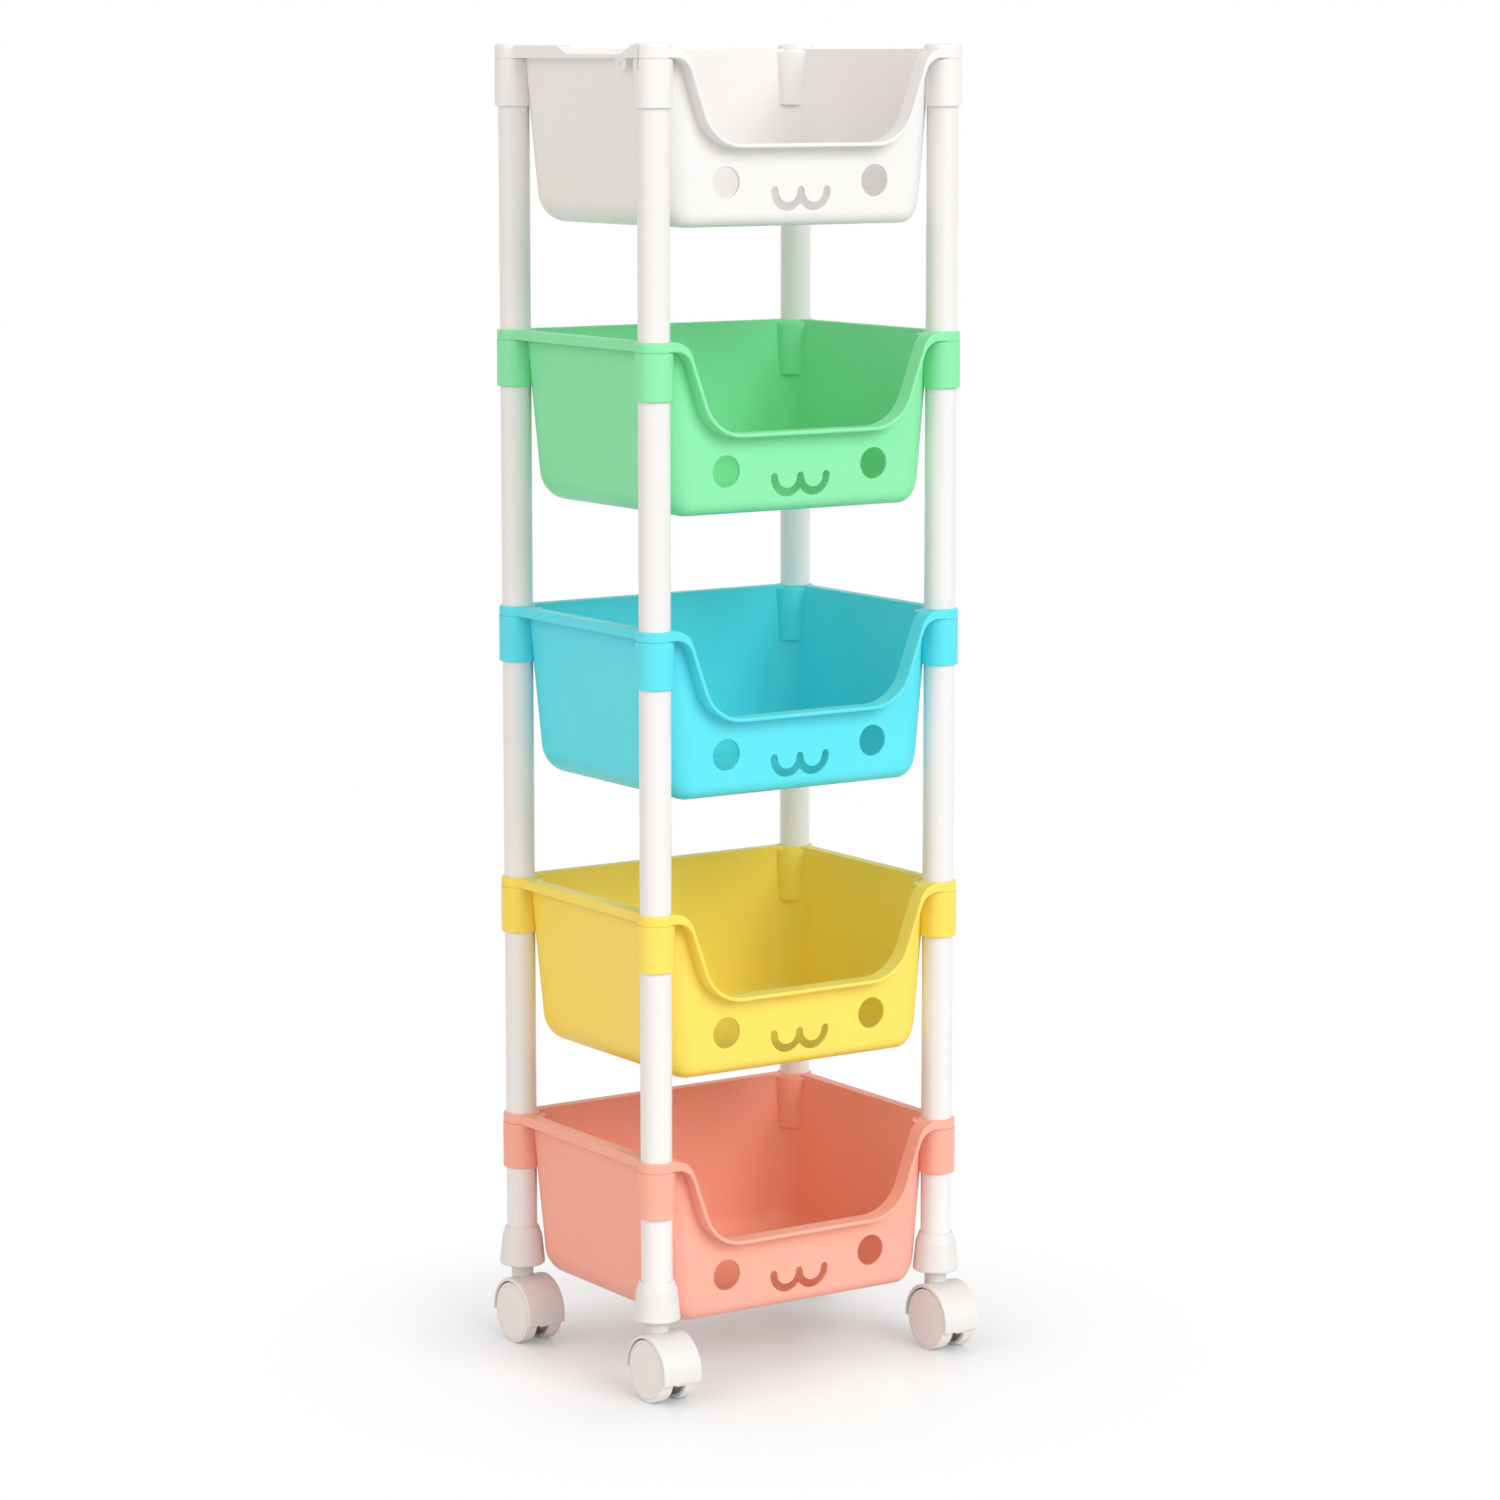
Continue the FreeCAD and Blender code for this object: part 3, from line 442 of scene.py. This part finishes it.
def floor_finish(studio):
    """Pale floor with a soft gloss that keeps the shelf's shadow and fades into the white surround.

    Near the shelf, part of what the camera sees is a painted shadow: an emission whose grey darkens where
    a piece stands close above, mixed over the lit floor.
    """
    material = bpy.data.materials.new("studio_floor")
    material.use_nodes = True
    tree = material.node_tree
    tree.nodes.clear()
    direct = seen_directly(tree)
    matt = added(
        tree, "ShaderNodeBsdfDiffuse", {"Color": mixed(tree, direct, FLOOR_TONE, FLOOR_TONE_SEEN)})
    gloss = added(tree, "ShaderNodeBsdfGlossy", {"Color": WHITE, "Roughness": FLOOR_ROUGHNESS})
    ground = added(
        tree, "ShaderNodeMixShader", {0: FLOOR_GLOSS, 1: matt.outputs[0], 2: gloss.outputs[0]})
    away = added(tree, "ShaderNodeVectorMath", {0: object_place(tree)}, operation="LENGTH")
    fade = remapped(
        tree, away.outputs["Value"], studio.fade_start, studio.fade_end, to_low=studio.painted_shadow_share)
    # Painted shadow: ambient occlusion turns an emission grey where a piece stands close above, and the
    # camera sees it mixed over the lit floor
    painted_shadow_opening = added(tree, "ShaderNodeAmbientOcclusion", {"Distance": studio.painted_shadow_reach}).outputs["AO"]
    plain = added(tree, "ShaderNodeEmission", {"Color": mixed(tree, painted_shadow_opening, PAINTED_FLOOR_SHADOW, WHITE)})
    both = added(
        tree, "ShaderNodeMixShader",
        {0: maths(tree, "MULTIPLY", fade, direct), 1: ground.outputs[0], 2: plain.outputs[0]})
    added(tree, "ShaderNodeOutputMaterial", {"Surface": both.outputs[0]})
    return material


def white_surround(scene, studio):
    """White where it is seen, and an even soft light elsewhere."""
    world = bpy.data.worlds.new("studio_surround")
    world.use_nodes = True
    tree = world.node_tree
    strength = maths(tree, "MAXIMUM", seen_directly(tree), studio.sky)
    background = tree.nodes["Background"]
    background.inputs["Color"].default_value = WHITE
    joined(tree, strength, background.inputs["Strength"])
    scene.world = world


def lamp(name, strength, colour, heading, height, spread):
    """A broad distant lamp, by its heading from the front towards the right and its height, in degrees."""
    turn, rise = math.radians(heading), math.radians(height)
    source = Vector((math.sin(turn) * math.cos(rise), -math.cos(turn) * math.cos(rise), math.sin(rise)))
    bpy.ops.object.light_add(type="SUN", location=source * LAMP_DISTANCE)
    light = bpy.context.active_object
    light.name = name
    light.rotation_euler = source.to_track_quat("Z", "Y").to_euler()
    light.data.energy = strength
    light.data.color = colour
    light.data.angle = math.radians(spread)


# Operators

class TOYSHELF_OT_tubs(bpy.types.Operator):
    """Finish the five tubs in satin plastic, each in its own colour"""

    bl_idname = "toyshelf.tubs"
    bl_label = "Finish Tubs"

    def execute(self, context):
        colours = context.scene.toyshelf_colours
        gloss = context.scene.toyshelf_surface.plastic_gloss
        for name in TUB_SHADES:
            plastic = satin_plastic(name + "_tub_plastic", getattr(colours, name), gloss, TUB_SUBSURFACE)
            dress(named("tub_" + name), plastic)
        return {"FINISHED"}


class TOYSHELF_OT_posts(bpy.types.Operator):
    """Finish the post and leg tubes in white paint"""

    bl_idname = "toyshelf.posts"
    bl_label = "Finish Posts"

    def execute(self, context):
        paint = painted_steel("white_tube_paint", context.scene.toyshelf_colours.tube)
        dress(named("post_tube_", "leg_tube_"), paint)
        return {"FINISHED"}


class TOYSHELF_OT_feet(bpy.types.Operator):
    """Finish the foot sockets and caster hoods in white plastic"""

    bl_idname = "toyshelf.feet"
    bl_label = "Finish Feet and Hoods"

    def execute(self, context):
        colour = context.scene.toyshelf_colours.fitting
        gloss = context.scene.toyshelf_surface.plastic_gloss
        plastic = satin_plastic("white_fitting_plastic", colour, gloss, FITTING_SUBSURFACE)
        dress(named("foot_socket_", "caster_hood_"), plastic)
        return {"FINISHED"}


class TOYSHELF_OT_wheels(bpy.types.Operator):
    """Finish the wheels in warm white plastic and the stems, rings and axles in plated steel"""

    bl_idname = "toyshelf.wheels"
    bl_label = "Finish Wheels"

    def execute(self, context):
        colours = context.scene.toyshelf_colours
        roughness = context.scene.toyshelf_surface.plastic_gloss + WHEEL_EXTRA_ROUGHNESS
        plastic = satin_plastic("wheel_plastic", colours.wheel, roughness, FITTING_SUBSURFACE)
        dress(named("wheel_front_", "wheel_back_"), plastic)
        steel = plated_steel("plated_steel", colours.steel)
        dress(named("caster_stem_", "grip_ring_", "wheel_axle_"), steel)
        return {"FINISHED"}


class TOYSHELF_OT_stage(bpy.types.Operator):
    """Set the pale floor, the lamps, the white surround and the camera"""

    bl_idname = "toyshelf.stage"
    bl_label = "Set Stage"

    def execute(self, context):
        studio = context.scene.toyshelf_studio
        bpy.ops.object.select_all(action="DESELECT")
        bpy.ops.mesh.primitive_circle_add(
            vertices=FLOOR_SIDES, radius=studio.floor_radius, fill_type="NGON")
        floor = context.active_object
        floor.name = "studio_floor"
        floor.data.materials.append(floor_finish(studio))
        white_surround(context.scene, studio)
        lamp("soft_key", studio.key, **KEY_LAMP)
        lamp("soft_fill", studio.fill, **FILL_LAMP)
        bpy.ops.object.camera_add(
            location=studio.camera_place,
            rotation=(math.pi / 2 - studio.camera_dip, 0, studio.camera_turn))
        camera = context.active_object
        camera.name = "photo_camera"
        camera.data.lens = studio.lens
        camera.data.clip_end = CAMERA_REACH
        context.scene.camera = camera
        context.scene.view_settings.view_transform = "Standard"
        return {"FINISHED"}


# Sidebar

class TOYSHELF_PT_sidebar(bpy.types.Panel):
    """Settings and steps of the toy shelf"""

    bl_idname = "TOYSHELF_PT_sidebar"
    bl_label = "Toy Shelf"
    bl_space_type = "VIEW_3D"
    bl_region_type = "UI"
    bl_category = "Toy Shelf"

    def draw(self, context):
        layout = self.layout
        layout.use_property_split = True
        for settings in SETTINGS:
            box = layout.box()
            group = getattr(context.scene, settings)
            for name in group.bl_rna.properties.keys():
                if name not in ("rna_type", "name"):
                    box.prop(group, name)
        for operator in OPERATORS:
            layout.operator(operator.bl_idname)


SETTINGS = {
    "toyshelf_colours": TOYSHELF_colours,
    "toyshelf_surface": TOYSHELF_surface,
    "toyshelf_studio": TOYSHELF_studio,
}
OPERATORS = (
    TOYSHELF_OT_tubs,
    TOYSHELF_OT_posts,
    TOYSHELF_OT_feet,
    TOYSHELF_OT_wheels,
    TOYSHELF_OT_stage,
)


def register():
    for kind in (*SETTINGS.values(), *OPERATORS, TOYSHELF_PT_sidebar):
        bpy.utils.register_class(kind)
    for name, kind in SETTINGS.items():
        setattr(bpy.types.Scene, name, PointerProperty(type=kind))


def unregister():
    for name in SETTINGS:
        delattr(bpy.types.Scene, name)
    for kind in reversed((*SETTINGS.values(), *OPERATORS, TOYSHELF_PT_sidebar)):
        bpy.utils.unregister_class(kind)


def main():
    register()
    bpy.ops.toyshelf.tubs()
    bpy.ops.toyshelf.posts()
    bpy.ops.toyshelf.feet()
    bpy.ops.toyshelf.wheels()
    bpy.ops.toyshelf.stage()


if __name__ == "__main__":
    main()
